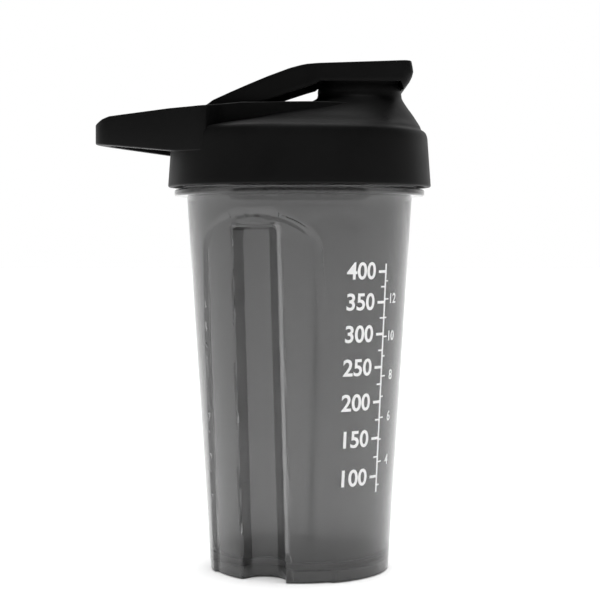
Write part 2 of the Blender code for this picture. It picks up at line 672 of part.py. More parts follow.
lid_lift = pivot("lid_lift", (0, 0, RIM_Z))
lid_turn = pivot("lid_turn", (0, 0, RIM_Z), lid_lift)
cap_hinge = pivot("cap_hinge", (PIN_X, 0, PIN_Z), lid_turn)
strainer_pull = pivot("strainer_pull", (0, 0, STRAINER_TOP), lid_turn)

make_cup(smoke_pp)
make_gasket(grey_silicone, lid_lift)
make_lid(black_pp, lid_turn)
make_hinge_pin(steel, lid_turn)
make_flip_cap(black_pp, cap_hinge)
make_spout_plug(black_tpe, cap_hinge)
make_strainer(black_pp, strainer_pull)
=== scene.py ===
import math

import bmesh
import bpy
import numpy as np
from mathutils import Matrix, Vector


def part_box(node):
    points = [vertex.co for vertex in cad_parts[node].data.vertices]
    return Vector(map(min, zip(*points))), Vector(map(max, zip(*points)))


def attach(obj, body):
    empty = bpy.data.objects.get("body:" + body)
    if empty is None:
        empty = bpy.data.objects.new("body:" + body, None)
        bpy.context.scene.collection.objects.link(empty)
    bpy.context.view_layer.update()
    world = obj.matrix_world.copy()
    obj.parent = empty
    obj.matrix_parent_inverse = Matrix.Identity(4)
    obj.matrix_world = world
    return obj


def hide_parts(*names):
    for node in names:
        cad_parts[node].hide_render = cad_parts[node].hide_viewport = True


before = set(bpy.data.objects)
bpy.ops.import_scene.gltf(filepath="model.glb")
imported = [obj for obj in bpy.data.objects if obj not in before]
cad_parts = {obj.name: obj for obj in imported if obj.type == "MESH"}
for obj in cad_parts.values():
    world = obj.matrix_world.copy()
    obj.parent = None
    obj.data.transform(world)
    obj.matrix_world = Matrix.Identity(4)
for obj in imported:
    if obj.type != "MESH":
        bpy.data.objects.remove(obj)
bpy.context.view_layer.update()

cupLow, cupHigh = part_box("cup")
axisX = (cupLow.x + cupHigh.x) / 2        # the cup's own axis stands here
mm = 0.001
print("frame loaded, cup axis at x =", round(axisX, 4))


# small helpers

def toLinear(hexText):
    # sRGB hex to linear light
    parts = [int(hexText[i:i + 2], 16) / 255 for i in (1, 3, 5)]
    return tuple(p / 12.92 if p <= 0.04045 else ((p + 0.055) / 1.055) ** 2.4 for p in parts) + (1.0,)


def addNode(tree, kind, settings=None, values=None, links=None):
    node = tree.nodes.new(kind)
    for key, value in (settings or {}).items():
        setattr(node, key, value)
    for key, value in (values or {}).items():
        node.inputs[key].default_value = value
    for key, (source, output) in (links or {}).items():
        tree.links.new(source.outputs[output], node.inputs[key])
    return node


def smoothStep(t):
    # 0 below 0, 1 above 1, and 3t^2 - 2t^3 between
    t = np.clip(t, 0.0, 1.0)
    return t * t * (3 - 2 * t)


def smoothCurve(points, steps):
    # Catmull-Rom line through the points, worked out as whole arrays
    p = np.asarray(points, float)
    padded = np.vstack([2 * p[0] - p[1], p, 2 * p[-1] - p[-2]])
    t = np.linspace(0, 1, steps, endpoint=False)[None, :, None]
    a, b, c, d = (padded[k:k + len(p) - 1, None, :] for k in range(4))
    line = 0.5 * (2 * b + (c - a) * t + (2 * a - 5 * b + 4 * c - d) * t ** 2
                  + (3 * b - a - 3 * c + d) * t ** 3)
    return np.vstack([line.reshape(-1, p.shape[1]), p[-1:]])


def crowded(low, high, count, spots, wrap=False):
    # count values from low to high, closer together near each (place, spread, weight) spot
    fine = np.linspace(low, high, 9001)
    density = np.ones_like(fine)
    for place, spread, weight in spots:
        away = fine - place
        if wrap:
            away = (away + (high - low) / 2) % (high - low) - (high - low) / 2
        density += weight * np.exp(-(away / spread) ** 2)
    summed = np.concatenate([[0], np.cumsum((density[1:] + density[:-1]) / 2)])
    share = np.arange(count) / (count if wrap else count - 1)
    return np.interp(share * summed[-1], summed, fine)


def roundedCorner(center, radius, start, end, steps):
    # points on an arc, angles in degrees
    turn = np.radians(np.linspace(start, end, steps))
    return np.column_stack([center[0] + radius * np.cos(turn), center[1] + radius * np.sin(turn)])


def ringsToPart(rows, wrapRows=False, close="fan"):
    # rows is (rows, columns, 3), columns always wrap; open ends are closed by a fan to their
    # middle, or zipped across when the outline is mirrored left to right; faces are turned outwards
    count, width = rows.shape[:2]
    verts = rows.reshape(-1, 3)
    r = np.arange(count if wrapRows else count - 1)[:, None]
    c = np.arange(width)[None, :]
    nextRow = (r + 1) % count
    nextCol = (c + 1) % width
    quads = np.stack([r * width + c, r * width + nextCol,
                      nextRow * width + nextCol, nextRow * width + c], -1)
    quads = quads.reshape(-1, 4)
    tris = np.zeros((0, 3), int)
    if not wrapRows and close == "fan":
        first, last = len(verts), len(verts) + 1
        verts = np.vstack([verts, rows[0].mean(0), rows[-1].mean(0)])
        c = np.arange(width)
        n = (c + 1) % width
        end = (count - 1) * width
        tris = np.vstack([np.stack([n, c, np.full(width, first)], -1),
                          np.stack([end + c, end + n, np.full(width, last)], -1)])
    if not wrapRows and close == "zip":
        half = np.arange(width // 2 - 1)
        end = (count - 1) * width
        a = np.stack([half + 1, half, width - 1 - half, width - 2 - half], -1)
        b = np.stack([half, half + 1, width - 2 - half, width - 1 - half], -1) + end
        quads = np.vstack([quads, a, b])
    corners = verts[quads]
    inside = np.einsum("ij,ij->i", corners[:, 0], np.cross(corners[:, 1], corners[:, 2])).sum()
    inside += np.einsum("ij,ij->i", corners[:, 0], np.cross(corners[:, 2], corners[:, 3])).sum()
    if len(tris):
        corners = verts[tris]
        inside += np.einsum("ij,ij->i", corners[:, 0], np.cross(corners[:, 1], corners[:, 2])).sum()
    if inside < 0:
        quads, tris = quads[:, ::-1], tris[:, ::-1]
    return verts, quads, tris


def meshFromParts(name, parts, sharpAngle=40):
    # one mesh out of several closed parts, moved from the cup's axis to the frame's own place
    verts, loops, sizes, offset = [], [], [], 0
    for partVerts, quads, tris in parts:
        verts.append(partVerts)
        loops += [(quads + offset).ravel(), (tris + offset).ravel()]
        sizes += [np.full(len(quads), 4), np.full(len(tris), 3)]
        offset += len(partVerts)
    verts = np.vstack(verts) + np.array([axisX, 0, 0])
    loops = np.concatenate(loops).astype(np.int32)
    sizes = np.concatenate(sizes)
    starts = np.concatenate([[0], np.cumsum(sizes)[:-1]]).astype(np.int32)
    mesh = bpy.data.meshes.new(name)
    mesh.vertices.add(len(verts))
    mesh.vertices.foreach_set("co", verts.ravel().astype(np.float32))
    mesh.loops.add(len(loops))
    mesh.loops.foreach_set("vertex_index", loops)
    mesh.polygons.add(len(starts))
    mesh.polygons.foreach_set("loop_start", starts)
    mesh.update(calc_edges=True)
    mesh.validate()
    mesh.shade_smooth()
    mesh.set_sharp_from_angle(angle=math.radians(sharpAngle))
    return mesh


def addPiece(name, mesh, material, body, nodes=()):
    piece = bpy.data.objects.new(name, mesh)
    bpy.context.scene.collection.objects.link(piece)
    mesh.materials.clear()
    mesh.materials.append(material)
    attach(piece, body)
    if nodes:
        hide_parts(*nodes)
    print("  piece", name, len(mesh.polygons), "faces")
    return piece


def turnedPart(profile, count, centerX=0.0, wrapRows=False):
    # surface of revolution: each (r, z) of the profile is carried round a circle
    turn = np.linspace(0, 2 * np.pi, count, endpoint=False)
    p = np.asarray(profile, float)
    rows = np.stack([centerX + p[:, :1] * np.cos(turn), p[:, :1] * np.sin(turn),
                     np.repeat(p[:, 1:2], count, 1)], -1)
    return ringsToPart(rows, wrapRows)


# camera and studio

studio = dict(distance=0.606, eyeHeight=0.126, aimHeight=0.1143, lens=94.4, rise=-0.0508, floorGlow=0.16,
              floorSun=3.2, floorSunAngle=math.radians(70), backLevel=1.0, frontLevel=0.06,
              backFrom=0.25, backTo=0.85, floorReach=6.0, floorDrop=0.0002, sideways=0.0002)
# each soft light: place, target, size and watts, about the cup's axis
softboxes = dict(
    top=((0.05, -0.15, 0.85), (0, 0, 0.17), (0.7, 0.5), 3.0),
    left=((-0.9, -0.35, 0.45), (0, 0, 0.1), (0.5, 0.9), 0.12),
    right=((0.9, -0.25, 0.35), (0, 0, 0.1), (0.5, 0.9), 0.12),
    dome=((0.06, 0.25, 0.75), (0.02, 0, 0.17), (0.25, 0.25), 0.6))

camera = bpy.data.cameras.new("camera")
camera.lens = studio["lens"]
camera.sensor_width = 36
camera.shift_y = studio["rise"]           # the tilt does the other half of the framing
cameraObject = bpy.data.objects.new("camera", camera)
bpy.context.scene.collection.objects.link(cameraObject)
eye = Vector((axisX + studio["sideways"], -studio["distance"], studio["eyeHeight"]))
aim = Vector((axisX + studio["sideways"], 0, studio["aimHeight"]))
cameraObject.location = eye
cameraObject.rotation_euler = (aim - eye).to_track_quat("-Z", "Y").to_euler()
bpy.context.scene.camera = cameraObject
bpy.context.scene.view_settings.view_transform = "Standard"


def matteSheet(name, hexText, roughness, glow):
    # painted card: flat, hardly any gloss
    made = bpy.data.materials.new(name)
    made.use_nodes = True
    shader = made.node_tree.nodes["Principled BSDF"]
    shader.inputs["Base Color"].default_value = toLinear(hexText)
    shader.inputs["Roughness"].default_value = roughness
    shader.inputs["Specular IOR Level"].default_value = 0.1
    shader.inputs["Emission Color"].default_value = (1, 1, 1, 1)
    shader.inputs["Emission Strength"].default_value = glow
    return made


def addFloor():
    # the floor is a wide flat sheet just under the bottle
    mesh = bpy.data.meshes.new("studioFloor")
    reach = studio["floorReach"]
    below = -studio["floorDrop"]
    mesh.from_pydata([(-reach, -reach, below), (reach, -reach, below),
                      (reach, reach, below), (-reach, reach, below)], [], [(0, 1, 2, 3)])
    floor = bpy.data.objects.new("studioFloor", mesh)
    mesh.materials.append(matteSheet("whiteCard", "#f4f4f4", 0.9, studio["floorGlow"]))
    bpy.context.scene.collection.objects.link(floor)
    return floor


def addFloorSun(floor):
    # a broad overhead light that falls on the floor alone, so the bottle shades what it stands on
    only = bpy.data.collections.new("floorOnly")
    only.objects.link(floor)
    light = bpy.data.lights.new("floorSun", "SUN")
    light.energy = studio["floorSun"]
    light.angle = studio["floorSunAngle"]
    lamp = bpy.data.objects.new("floorSun", light)
    lamp.location = (axisX, 0, 1.0)
    lamp.light_linking.receiver_collection = only
    bpy.context.scene.collection.objects.link(lamp)


def addSoftbox(name, place, target, size, watts):
    light = bpy.data.lights.new(name, "AREA")
    light.shape = "RECTANGLE"
    light.size, light.size_y = size
    light.energy = watts
    lamp = bpy.data.objects.new(name, light)
    lamp.location = Vector(place) + Vector((axisX, 0, 0))
    direction = Vector(target) + Vector((axisX, 0, 0)) - lamp.location
    lamp.rotation_euler = direction.to_track_quat("-Z", "Y").to_euler()
    bpy.context.scene.collection.objects.link(lamp)
    return lamp


def lightRoom():
    # white to the eye, but dimmer for what falls on the bottle from the front
    world = bpy.data.worlds.new("whiteRoom")
    bpy.context.scene.world = world
    world.use_nodes = True
    tree = world.node_tree
    tree.nodes.clear()
    place = addNode(tree, "ShaderNodeTexCoord")
    split = addNode(tree, "ShaderNodeSeparateXYZ", links={"Vector": (place, "Generated")})
    ramp = addNode(tree, "ShaderNodeMapRange", settings={"interpolation_type": "SMOOTHSTEP"},
                   values={"From Min": studio["backFrom"], "From Max": studio["backTo"],
                           "To Min": studio["frontLevel"], "To Max": studio["backLevel"]},
                   links={"Value": (split, "Y")})
    path = addNode(tree, "ShaderNodeLightPath")
    level = addNode(tree, "ShaderNodeMix", settings={"data_type": "FLOAT"}, values={"B": 1.0},
                    links={"Factor": (path, "Is Camera Ray"), "A": (ramp, "Result")})
    shade = addNode(tree, "ShaderNodeBackground", values={"Color": (1, 1, 1, 1)},
                    links={"Strength": (level, "Result")})
    addNode(tree, "ShaderNodeOutputWorld", links={"Surface": (shade, "Background")})
    for name, (place, target, size, watts) in softboxes.items():
        addSoftbox(name + "Softbox", place, target, size, watts)


addFloorSun(addFloor())
lightRoom()
print("studio ready")


# materials

def startMaterial(name):
    made = bpy.data.materials.new(name)
    made.use_nodes = True
    tree = made.node_tree
    tree.nodes.clear()
    coords = addNode(tree, "ShaderNodeTexCoord")
    return made, tree, coords


def blackPolypropylene(name, hexDark="#0c0c0c", hexLight="#121212", roughness=0.48):
    # PP moulded in a spark-eroded tool: a satin skin with a fine grain, and cloudy gloss where
    # the melt flowed
    made, tree, coords = startMaterial(name)
    grain = addNode(tree, "ShaderNodeTexNoise", values={"Scale": 1 / (0.45 * mm), "Detail": 3.0},
                    links={"Vector": (coords, "Object")})
    flow = addNode(tree, "ShaderNodeTexNoise", values={"Scale": 1 / (14 * mm), "Detail": 4.0},
                   links={"Vector": (coords, "Object")})
    tint = addNode(tree, "ShaderNodeMix", settings={"data_type": "RGBA"},
                   values={"A": toLinear(hexDark), "B": toLinear(hexLight)},
                   links={"Factor": (flow, "Fac")})
    gloss = addNode(tree, "ShaderNodeMapRange",
                    values={"From Min": 0.3, "From Max": 0.7, "To Min": roughness - 0.04,
                            "To Max": roughness + 0.05}, links={"Value": (flow, "Fac")})
    bump = addNode(tree, "ShaderNodeBump", values={"Strength": 0.12, "Distance": 0.04 * mm},
                   links={"Height": (grain, "Fac")})
    shader = addNode(tree, "ShaderNodeBsdfPrincipled",
                     values={"IOR": 1.49, "Specular IOR Level": 0.1},
                     links={"Base Color": (tint, "Result"), "Roughness": (gloss, "Result"),
                            "Normal": (bump, "Normal")})
    addNode(tree, "ShaderNodeOutputMaterial", links={"Surface": (shader, "BSDF")})
    return made


def smokePolypropylene(name, rough, hexDark="#8a8a8a", hexLight="#949494"):
    # translucent PP, smoke tinted: the outside was moulded against a polished tool and keeps a soft
    # gloss, the inside against a blasted core, which makes it cloudy to look through
    made, tree, coords = startMaterial(name)
    grain = addNode(tree, "ShaderNodeTexNoise", values={"Scale": 1 / (0.6 * mm), "Detail": 3.0},
                    links={"Vector": (coords, "Object")})
    cloud = addNode(tree, "ShaderNodeTexNoise", values={"Scale": 1 / (22 * mm), "Detail": 3.0},
                    links={"Vector": (coords, "Object")})
    tint = addNode(tree, "ShaderNodeMix", settings={"data_type": "RGBA"},
                   values={"A": toLinear(hexDark), "B": toLinear(hexLight)},
                   links={"Factor": (cloud, "Fac")})
    gloss = addNode(tree, "ShaderNodeMapRange",
                    values={"From Min": 0.3, "From Max": 0.7,
                            "To Min": rough - 0.04, "To Max": rough + 0.04},
                    links={"Value": (cloud, "Fac")})
    bump = addNode(tree, "ShaderNodeBump", values={"Strength": 0.08, "Distance": 0.03 * mm},
                   links={"Height": (grain, "Fac")})
    shader = addNode(tree, "ShaderNodeBsdfPrincipled",
                     values={"IOR": 1.49, "Transmission Weight": 0.92},
                     links={"Base Color": (tint, "Result"), "Roughness": (gloss, "Result"),
                            "Normal": (bump, "Normal")})
    addNode(tree, "ShaderNodeOutputMaterial", links={"Surface": (shader, "BSDF")})
    return made


def softPolymer(name, hexDark, hexLight, roughness):
    # TPE or silicone: matt, a faint dusty bloom, tiny dimples from the mould
    made, tree, coords = startMaterial(name)
    dimples = addNode(tree, "ShaderNodeTexNoise", values={"Scale": 1 / (0.8 * mm), "Detail": 2.0},
                      links={"Vector": (coords, "Object")})
    tint = addNode(tree, "ShaderNodeMix", settings={"data_type": "RGBA"},
                   values={"A": toLinear(hexDark), "B": toLinear(hexLight)},
                   links={"Factor": (dimples, "Fac")})
    bump = addNode(tree, "ShaderNodeBump", values={"Strength": 0.15, "Distance": 0.05 * mm},
                   links={"Height": (dimples, "Fac")})
    shader = addNode(tree, "ShaderNodeBsdfPrincipled",
                     values={"IOR": 1.43, "Roughness": roughness, "Sheen Weight": 0.15},
                     links={"Base Color": (tint, "Result"), "Normal": (bump, "Normal")})
    addNode(tree, "ShaderNodeOutputMaterial", links={"Surface": (shader, "BSDF")})
    return made


def stainlessSteel():
    # drawn stainless wire: fine lines along its length
    made, tree, coords = startMaterial("drawnStainlessSteel")
    stretch = addNode(tree, "ShaderNodeMapping", values={"Scale": (1.0, 0.02, 1.0)},
                      links={"Vector": (coords, "Object")})
    lines = addNode(tree, "ShaderNodeTexNoise", values={"Scale": 1 / (0.12 * mm), "Detail": 2.0},
                    links={"Vector": (stretch, "Vector")})
    tint = addNode(tree, "ShaderNodeMix", settings={"data_type": "RGBA"},
                   values={"A": toLinear("#a8a8a6"), "B": toLinear("#cfcfcc")},
                   links={"Factor": (lines, "Fac")})
    bump = addNode(tree, "ShaderNodeBump", values={"Strength": 0.2, "Distance": 0.01 * mm},
                   links={"Height": (lines, "Fac")})
    shader = addNode(tree, "ShaderNodeBsdfPrincipled", values={"Metallic": 1.0, "Roughness": 0.24},
                     links={"Base Color": (tint, "Result"), "Normal": (bump, "Normal")})
    addNode(tree, "ShaderNodeOutputMaterial", links={"Surface": (shader, "BSDF")})
    return made


def screenInk():
    # white screen-printing ink: opaque, slightly uneven where the mesh left it thinner
    made, tree, coords = startMaterial("whiteScreenInk")
    weave = addNode(tree, "ShaderNodeTexNoise", values={"Scale": 1 / (0.5 * mm), "Detail": 2.0},
                    links={"Vector": (coords, "Object")})
    tint = addNode(tree, "ShaderNodeMix", settings={"data_type": "RGBA"},
                   values={"A": toLinear("#f2f2f2"), "B": toLinear("#ffffff")},
                   links={"Factor": (weave, "Fac")})
    bump = addNode(tree, "ShaderNodeBump", values={"Strength": 0.1, "Distance": 0.02 * mm},
                   links={"Height": (weave, "Fac")})
    shader = addNode(tree, "ShaderNodeBsdfPrincipled",
                     values={"IOR": 1.5, "Roughness": 0.5},
                     links={"Base Color": (tint, "Result"), "Normal": (bump, "Normal")})
    addNode(tree, "ShaderNodeOutputMaterial", links={"Surface": (shader, "BSDF")})
    return made


lidPlastic = blackPolypropylene("blackPolypropylene")
strainerPlastic = blackPolypropylene("blackStrainerPolypropylene", "#090909", "#0d0d0d", 0.5)
cupPlastic = smokePolypropylene("smokePolypropylene", 0.10)
cupCore = smokePolypropylene("smokePolypropyleneCore", 0.18)
# the foot is textured; its darker tint is painted shade for the dimmer light under the cup
cupFootPaintedShade = smokePolypropylene("smokePolypropyleneFootPaintedShade", 0.42, "#5e5e5e", "#666666")
plugRubber = softPolymer("blackElastomer", "#161616", "#1e1e1e", 0.6)
gasketSilicone = softPolymer("greySilicone", "#8f9091", "#a3a4a5", 0.5)
pinSteel = stainlessSteel()
ink = screenInk()
print("materials ready")


# cup

cup = dict(
    wall=1.8 * mm, footWall=2.4 * mm, baseRadius=34.2 * mm, topRadius=43.1 * mm, bodyTop=142 * mm,
    flangeRadius=47.9 * mm, neckRadius=45 * mm, neckBore=42.7 * mm, rim=160 * mm,
    floorUnder=4.5 * mm, floorTop=6.7 * mm, columns=340)
grip = dict(
    angle=math.radians(-114.4), recess=1.3 * mm, halfWidth=23 * mm, lowHalfWidth=24 * mm,
    widensFrom=118 * mm, widensTo=90 * mm, spring=121 * mm, top=134.6 * mm,
    edge=0.9 * mm, channelRadius=9.0 * mm, channelTop=130 * mm, channelCorner=2 * mm,
    channelLip=0.8 * mm)
thread = dict(starts=2, pitch=4.5 * mm, sweep=math.radians(270), depth=1.5 * mm, root=1.2 * mm,
              crest=0.4 * mm, cupStart=147.6 * mm)
thread["lead"] = thread["starts"] * thread["pitch"]
cup["taper"] = (cup["topRadius"] - cup["baseRadius"]) / cup["bodyTop"]


def cupRadius(turn, z, grow):
    # radius = cone - arched panel recess - half-round channel, the last two with soft edges;
    # grow moves all of it inwards by a wall's thickness
    z = np.asarray(z, float).reshape(-1, 1)
    cone = cup["baseRadius"] + cup["taper"] * z
    radius = np.repeat(cone - grow, len(turn), 1)
    for side in range(2):
        away = (turn - grip["angle"] - side * np.pi + np.pi) % (2 * np.pi) - np.pi
        facing = (np.abs(away) < 1.3)[None, :]
        across = np.abs(cone * np.sin(away)[None, :])
        half = grow + np.interp(z, [grip["widensTo"], grip["widensFrom"]],
                                [grip["lowHalfWidth"], grip["halfWidth"]])
        rise = grip["top"] - grip["spring"] + grow
        a = across / half
        b = np.clip((z - grip["spring"]) / rise, 0, None) + 0 * a
        q = np.sqrt(a * a + b * b) + 1e-9
        slope = np.sqrt((a / half) ** 2 + (b / rise) ** 2) / q + 1e-9
        inside = np.where(b > 0, (1 - q) / slope, half - across)
        radius = radius - grip["recess"] * smoothStep(inside / grip["edge"] + 0.5) * facing
        middle = cone - grip["recess"]
        offset = np.abs(middle * np.sin(away)[None, :])
        bore = grip["channelRadius"] + grow
        hollow = middle * np.cos(away)[None, :] - np.sqrt(np.clip(bore ** 2 - offset ** 2, 0, None))
        corner = grip["channelCorner"]
        past = np.clip(offset - bore + corner, 0, corner)
        drop = corner - np.sqrt(np.clip(corner ** 2 - past ** 2, 0, None))
        below = smoothStep((grip["channelTop"] + grow - drop - z) / (0.9 * mm) + 0.5)
        within = smoothStep((bore - offset) / grip["channelLip"]) * below * facing
        radius = radius - np.clip(radius - hollow, 0, None) * within
    return radius


def threadHeight(turn, z, start, depth):
    # trapezoid ridge: full within the crest, falling to nothing at the root, fading at its ends
    z = np.asarray(z, float).reshape(-1, 1)
    total = np.zeros((len(z), len(turn)))
    for k in range(thread["starts"]):
        phase = (turn - 2 * np.pi * k / thread["starts"])[None, :] % (2 * np.pi)
        center = start + thread["lead"] * phase / (2 * np.pi)
        off = np.abs(z - center)
        share = np.clip((thread["root"] - off) / (thread["root"] - thread["crest"]), 0, 1)
        along = phase / thread["sweep"]
        fade = np.clip(np.minimum(along, 1 - along) * 14, 0, 1)
        total = np.maximum(total, share * fade)
    return depth * total


def makeCup():
    edgeTurn = math.asin(grip["channelRadius"] / (39 * mm))
    panelTurn = math.asin(grip["halfWidth"] / (39 * mm))
    spots = []
    for side in range(2):
        middle = grip["angle"] + side * math.pi
        spots += [(middle, 0.20, 0.8)]
        for sign in (-1, 1):
            spots += [(middle + sign * edgeTurn, 0.030, 5.0), (middle + sign * panelTurn, 0.05, 1.6)]
    turn = crowded(-np.pi, np.pi, cup["columns"], [((s + np.pi) % (2 * np.pi) - np.pi, w, k)
                                                   for s, w, k in spots], wrap=True)
    bodyZ = crowded(0.7 * mm, 141.6 * mm, 104, [(grip["channelTop"], 1.6 * mm, 9.0),
                                               (128 * mm, 9 * mm, 1.6), (3 * mm, 3 * mm, 1.5)])
    insideZ = crowded(9 * mm, 147 * mm, 84, [(grip["channelTop"] + cup["wall"], 1.8 * mm, 7.0),
                                             (130 * mm, 9 * mm, 1.2)])
    rows = []

    def addRows(radius, z):
        radius = np.atleast_2d(radius) * np.ones((len(np.atleast_1d(z)), len(turn)))
        z = np.atleast_1d(z)[:, None] + 0 * radius
        rows.append(np.stack([radius * np.cos(turn), radius * np.sin(turn), z], -1))

    # under the floor, down the inside of the foot and round its edge
    footTop = cupRadius(turn, [cup["floorUnder"]], cup["footWall"])
    for share in (0.04, 0.3, 0.6, 0.85, 0.985):
        addRows(footTop * share, cup["floorUnder"])
    footInsideZ = np.array([4.1, 2.2, 0.4]) * mm
    addRows(cupRadius(turn, footInsideZ, cup["footWall"]), footInsideZ)
    addRows(cupRadius(turn, [0.0], cup["footWall"] - 0.3 * mm), 0.0)
    foot = cupRadius(turn, [0.0], 0.0)
    for angle in (0, 30, 60, 85):
        a = math.radians(angle)
        addRows(foot - 0.6 * mm * (1 - math.sin(a)), 0.6 * mm * (1 - math.cos(a)))
    footRowCount = sum(len(r) for r in rows)
    # the tapered body, the flange and the threaded neck
    addRows(cupRadius(turn, bodyZ, 0.0), bodyZ)
    flange = cup["flangeRadius"]
    edge = np.vstack([[(43.25 * mm, 142.05 * mm), (43.9 * mm, 142.25 * mm), (46.9 * mm, 142.35 * mm)],
                      roundedCorner((flange - 0.6 * mm, 143.0 * mm), 0.6 * mm, -80, 0, 5),
                      roundedCorner((flange - 0.5 * mm, 144.3 * mm), 0.5 * mm, 0, 85, 5),
                      [(45.9 * mm, 144.85 * mm), (45.25 * mm, 145.1 * mm)]])
    addRows(edge[:, :1], edge[:, 1])
    neckZ = np.linspace(145.5 * mm, 158.6 * mm, 40)
    addRows(cup["neckRadius"] + threadHeight(turn, neckZ, thread["cupStart"], thread["depth"]), neckZ)
    lip = (cup["neckRadius"] - cup["neckBore"]) / 2
    rim = roundedCorner((cup["neckBore"] + lip, cup["rim"] - lip), lip, 8, 172, 10)
    addRows(rim[:, :1], rim[:, 1])
    outerRowCount = sum(len(r) for r in rows)
    # down the inside to the floor
    boreZ = np.linspace(158 * mm, 148 * mm, 5)
    addRows(cup["neckBore"] + 0 * boreZ[:, None], boreZ)
    downZ = insideZ[::-1]
    widen = smoothStep((downZ - 139 * mm) / (8 * mm))[:, None]
    inner = cupRadius(turn, downZ, cup["wall"])
    addRows(inner * (1 - widen) + cup["neckBore"] * widen, downZ)
    innerFoot = cupRadius(turn, [9 * mm], cup["wall"])
    for angle in (30, 60, 90):
        a = math.radians(angle)
        addRows(innerFoot - 2.2 * mm * (1 - math.cos(a)), cup["floorTop"] + 2.3 * mm * (1 - math.sin(a)))
    for share in (0.8, 0.5, 0.25, 0.04):
        addRows((innerFoot - 2.2 * mm) * share, cup["floorTop"])
    allRows = np.vstack(rows)
    mesh = meshFromParts("cupShell", [ringsToPart(allRows)], 50)
    piece = addPiece("cupShell", mesh, cupPlastic, "cup", ["cup"])
    mesh.materials.append(cupCore)
    mesh.materials.append(cupFootPaintedShade)
    # which plastic each face has: the outside, the cloudy inside, or the textured foot, whose darker
    # tint is painted shade
    finish = np.zeros(len(mesh.polygons), np.int32)
    # the foot's faces get the darker tint, which is painted shade
    finish[:footRowCount * len(turn)] = 2
    finish[outerRowCount * len(turn):(len(allRows) - 1) * len(turn)] = 1
    mesh.polygons.foreach_set("material_index", finish)
    return piece


makeCup()
print("cup made")


# lid

lid = dict(
    skirtRadius=50.4 * mm, skirtBottom=145.8 * mm, skirtTopRadius=49.1 * mm, skirtTop=164 * mm,
    bore=47.2 * mm, ceiling=162.3 * mm, ceilingInner=41.6 * mm, spoutX=23 * mm, spoutRadius=15.2 * mm,
    spoutBore=12.6 * mm, spoutTop=188.2 * mm, domeWall=2.1 * mm, columns=288)

# height, left reach and right reach of the sloping top, from the shoulder to the spout's waist
domeStations = [
    (167.35, -46.9, 46.9), (167.9, -43.6, 46.6), (169.0, -37.0, 46.2), (171.0, -24.0, 45.0),
    (173.5, -13.5, 43.4), (176.0, -4.5, 41.6), (178.0, 2.6, 40.3), (179.6, 6.2, 39.4),
    (181.0, 7.0, 39.15), (182.4, 7.0, 39.0), (183.6, 7.25, 38.75), (184.6, 7.7, 38.3)]
dome = smoothCurve(np.array(domeStations) * mm, 5)


def domeHeight(x, y):
    # height of the sloping top over a point: the level whose circle just passes through it
    middle = (dome[:, 1] + dome[:, 2]) / 2
    radius = (dome[:, 2] - dome[:, 1]) / 2
    x, y = np.atleast_1d(x), np.atleast_1d(y)
    gap = np.hypot(x[:, None] - middle, y[:, None]) - radius
    return np.array([np.interp(0, g, dome[:, 0]) for g in gap])


